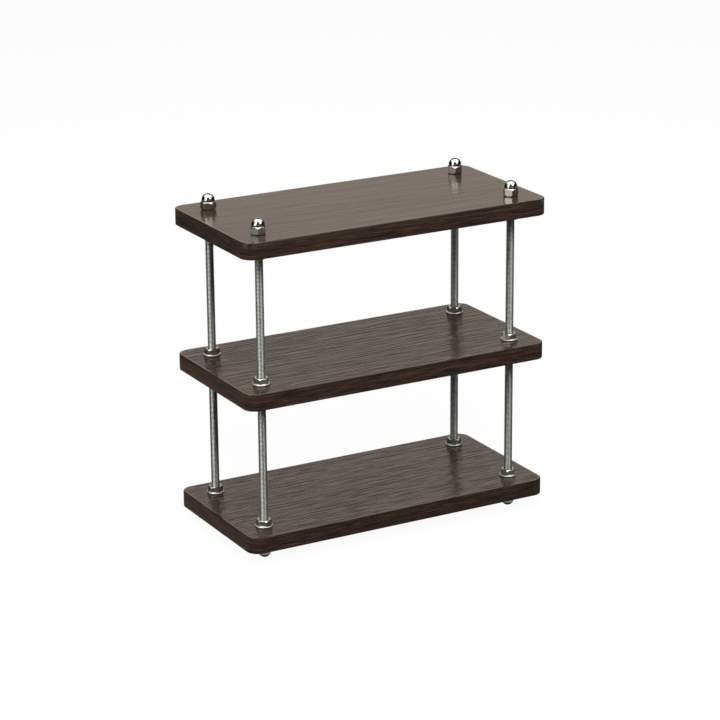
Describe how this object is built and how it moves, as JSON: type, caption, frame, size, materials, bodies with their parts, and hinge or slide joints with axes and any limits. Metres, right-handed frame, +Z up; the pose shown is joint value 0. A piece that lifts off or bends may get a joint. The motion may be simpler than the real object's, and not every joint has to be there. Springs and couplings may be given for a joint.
{
  "type": "desktop shelving unit",
  "caption": "Three-tier desktop shelf: edged wood-grain boards clamped by flange nuts on threaded corner rods, with domed cap nuts on top and as feet and a height-adjustable middle board.",
  "frame": {"origin": "on the table, midway between the four feet, under the middle of the boards", "axes": "+X along the front edge to the right, -Y out of the front, +Z up along the rods"},
  "size_m": [0.32, 0.1554, 0.3277],
  "materials": {
    "wenge_laminate": "satin dark wood-grain laminate on chipboard",
    "wenge_edging": "satin dark wood-grain plastic edging",
    "zinc_rod": "bright zinc-plated steel, threaded",
    "zinc_nut": "bright zinc-plated steel",
    "polished_cap": "polished nickel-plated steel"
  },
  "bodies": {
    "frame": {"bottom_panel": "wenge_laminate", "bottom_edging": "wenge_edging", "top_panel": "wenge_laminate", "top_edging": "wenge_edging", "rod_front_left": "zinc_rod", "rod_front_right": "zinc_rod", "rod_rear_left": "zinc_rod", "rod_rear_right": "zinc_rod", "nut_under_top_front_left": "zinc_nut", "nut_under_top_front_right": "zinc_nut", "nut_under_top_rear_left": "zinc_nut", "nut_under_top_rear_right": "zinc_nut", "nut_over_bottom_front_left": "zinc_nut", "nut_over_bottom_front_right": "zinc_nut", "nut_over_bottom_rear_left": "zinc_nut", "nut_over_bottom_rear_right": "zinc_nut", "cap_nut_front_left": "polished_cap", "cap_nut_front_right": "polished_cap", "cap_nut_rear_left": "polished_cap", "cap_nut_rear_right": "polished_cap", "foot_nut_front_left": "polished_cap", "foot_nut_front_right": "polished_cap", "foot_nut_rear_left": "polished_cap", "foot_nut_rear_right": "polished_cap"},
    "middle_shelf": {"middle_panel": "wenge_laminate", "middle_edging": "wenge_edging"},
    "nut_over_middle_front_left": {"nut_over_middle_front_left": "zinc_nut"},
    "nut_over_middle_front_right": {"nut_over_middle_front_right": "zinc_nut"},
    "nut_over_middle_rear_left": {"nut_over_middle_rear_left": "zinc_nut"},
    "nut_over_middle_rear_right": {"nut_over_middle_rear_right": "zinc_nut"},
    "nut_under_middle_front_left": {"nut_under_middle_front_left": "zinc_nut"},
    "nut_under_middle_front_right": {"nut_under_middle_front_right": "zinc_nut"},
    "nut_under_middle_rear_left": {"nut_under_middle_rear_left": "zinc_nut"},
    "nut_under_middle_rear_right": {"nut_under_middle_rear_right": "zinc_nut"}
  },
  "joints": [
    {"name": "middle_shelf_height", "type": "slide", "parent": "frame", "child": "middle_shelf", "axis": [0, 0, 1], "range_m": [-0.1086, 0.1119]},
    {"name": "nut_over_middle_front_left_turn", "type": "hinge", "parent": "middle_shelf", "child": "nut_over_middle_front_left", "pos_m": [-0.1339, -0.05105, 0.1702], "axis": [0, 0, 1], "continuous": true},
    {"name": "nut_over_middle_front_right_turn", "type": "hinge", "parent": "middle_shelf", "child": "nut_over_middle_front_right", "pos_m": [0.1339, -0.05105, 0.1702], "axis": [0, 0, 1], "continuous": true},
    {"name": "nut_over_middle_rear_left_turn", "type": "hinge", "parent": "middle_shelf", "child": "nut_over_middle_rear_left", "pos_m": [-0.1339, 0.05105, 0.1702], "axis": [0, 0, 1], "continuous": true},
    {"name": "nut_over_middle_rear_right_turn", "type": "hinge", "parent": "middle_shelf", "child": "nut_over_middle_rear_right", "pos_m": [0.1339, 0.05105, 0.1702], "axis": [0, 0, 1], "continuous": true},
    {"name": "nut_under_middle_front_left_turn", "type": "hinge", "parent": "middle_shelf", "child": "nut_under_middle_front_left", "pos_m": [-0.1339, -0.05105, 0.1542], "axis": [0, 0, 1], "continuous": true},
    {"name": "nut_under_middle_front_right_turn", "type": "hinge", "parent": "middle_shelf", "child": "nut_under_middle_front_right", "pos_m": [0.1339, -0.05105, 0.1542], "axis": [0, 0, 1], "continuous": true},
    {"name": "nut_under_middle_rear_left_turn", "type": "hinge", "parent": "middle_shelf", "child": "nut_under_middle_rear_left", "pos_m": [-0.1339, 0.05105, 0.1542], "axis": [0, 0, 1], "continuous": true},
    {"name": "nut_under_middle_rear_right_turn", "type": "hinge", "parent": "middle_shelf", "child": "nut_under_middle_rear_right", "pos_m": [0.1339, 0.05105, 0.1542], "axis": [0, 0, 1], "continuous": true}
  ],
  "couplings": [
    {"joint": "nut_over_middle_front_left_turn", "follows": "middle_shelf_height", "rad_per_m": 5026.5},
    {"joint": "nut_over_middle_front_right_turn", "follows": "middle_shelf_height", "rad_per_m": 5026.5},
    {"joint": "nut_over_middle_rear_left_turn", "follows": "middle_shelf_height", "rad_per_m": 5026.5},
    {"joint": "nut_over_middle_rear_right_turn", "follows": "middle_shelf_height", "rad_per_m": 5026.5},
    {"joint": "nut_under_middle_front_left_turn", "follows": "middle_shelf_height", "rad_per_m": 5026.5},
    {"joint": "nut_under_middle_front_right_turn", "follows": "middle_shelf_height", "rad_per_m": 5026.5},
    {"joint": "nut_under_middle_rear_left_turn", "follows": "middle_shelf_height", "rad_per_m": 5026.5},
    {"joint": "nut_under_middle_rear_right_turn", "follows": "middle_shelf_height", "rad_per_m": 5026.5}
  ]
}
